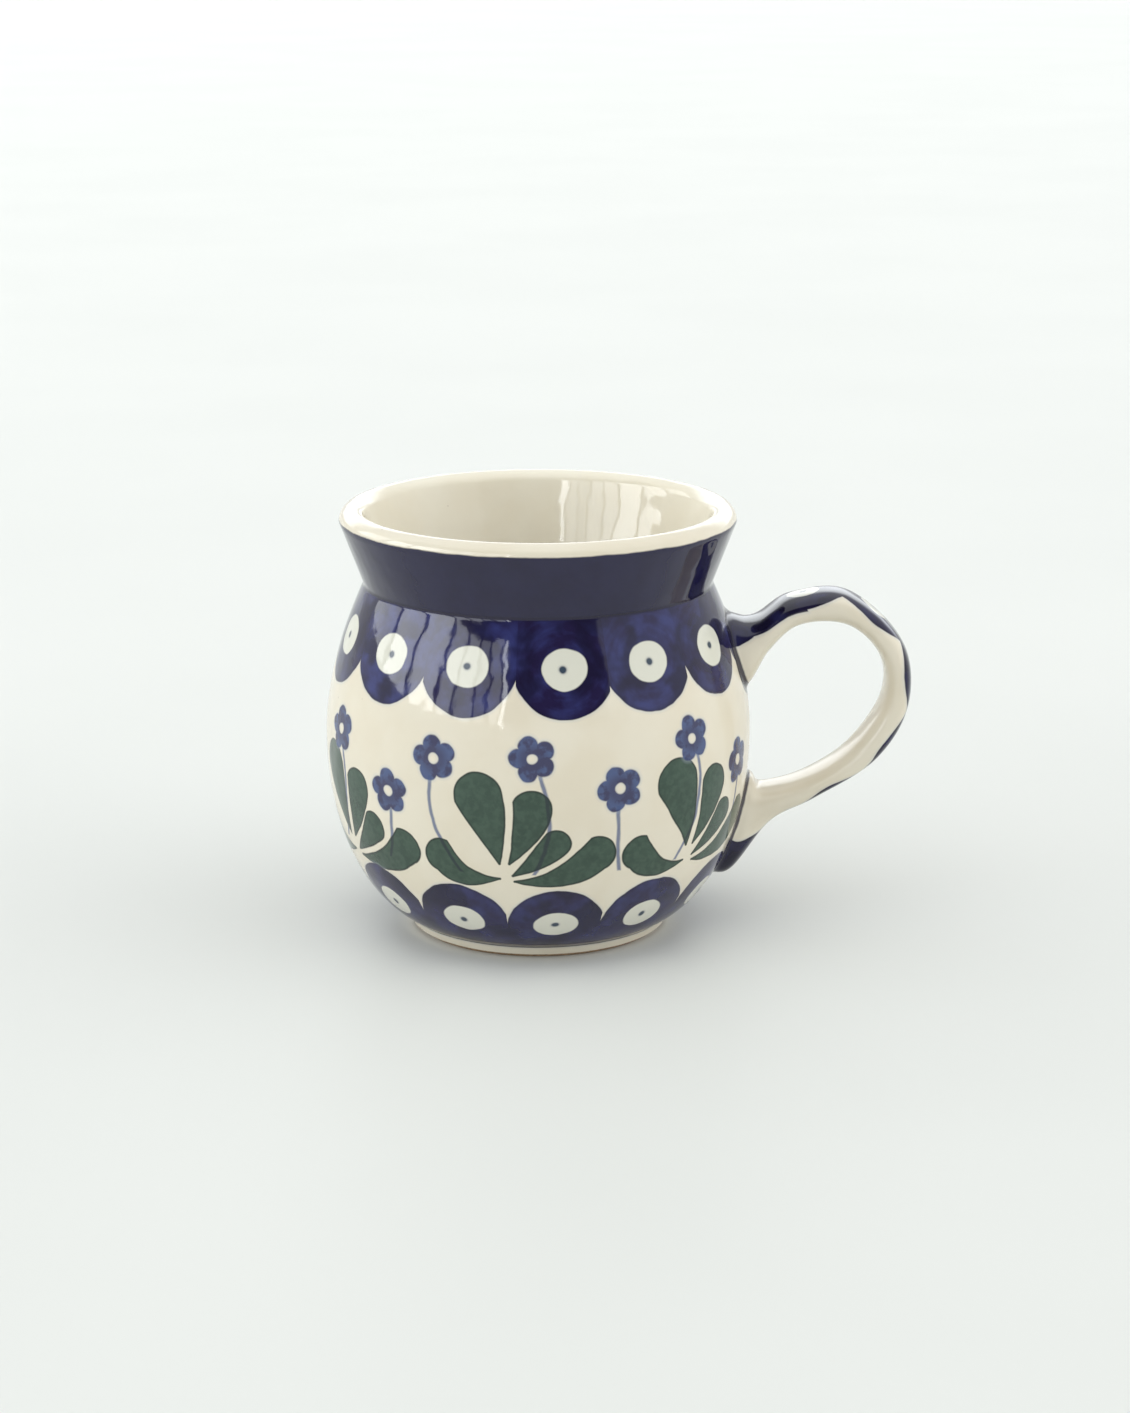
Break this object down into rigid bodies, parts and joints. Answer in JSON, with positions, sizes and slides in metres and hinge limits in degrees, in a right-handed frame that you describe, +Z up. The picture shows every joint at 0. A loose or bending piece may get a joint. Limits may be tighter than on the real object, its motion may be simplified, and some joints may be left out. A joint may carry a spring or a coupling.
{
  "type": "bellied stoneware mug",
  "caption": "Round-bellied stoneware mug with a flared collar, a strap handle on one side and a low foot ring, hand-painted in blue and green under a clear gloss glaze.",
  "frame": {"origin": "centre of the foot ring's contact plane, on the pot's turning axis", "axes": "+Z up along the turning axis, +X from the axis towards the handle, +Y to the left of the handle seen from outside it"},
  "size_m": [0.1239, 0.09, 0.0906],
  "materials": {
    "stoneware": "bare fired stoneware, matt",
    "slip": "fired slip, matt",
    "painted_glaze": "cobalt blue and green underglaze painting on warm white, under a clear gloss glaze",
    "clear_glaze": "clear gloss glaze over warm white"
  },
  "bodies": {
    "root": {"mug_body": "stoneware", "handle": "stoneware", "upper_handle_slip": "slip", "lower_handle_slip": "slip", "outer_glaze": "painted_glaze", "handle_glaze": "painted_glaze", "inner_glaze": "clear_glaze", "foot_glaze": "clear_glaze"}
  },
  "joints": []
}
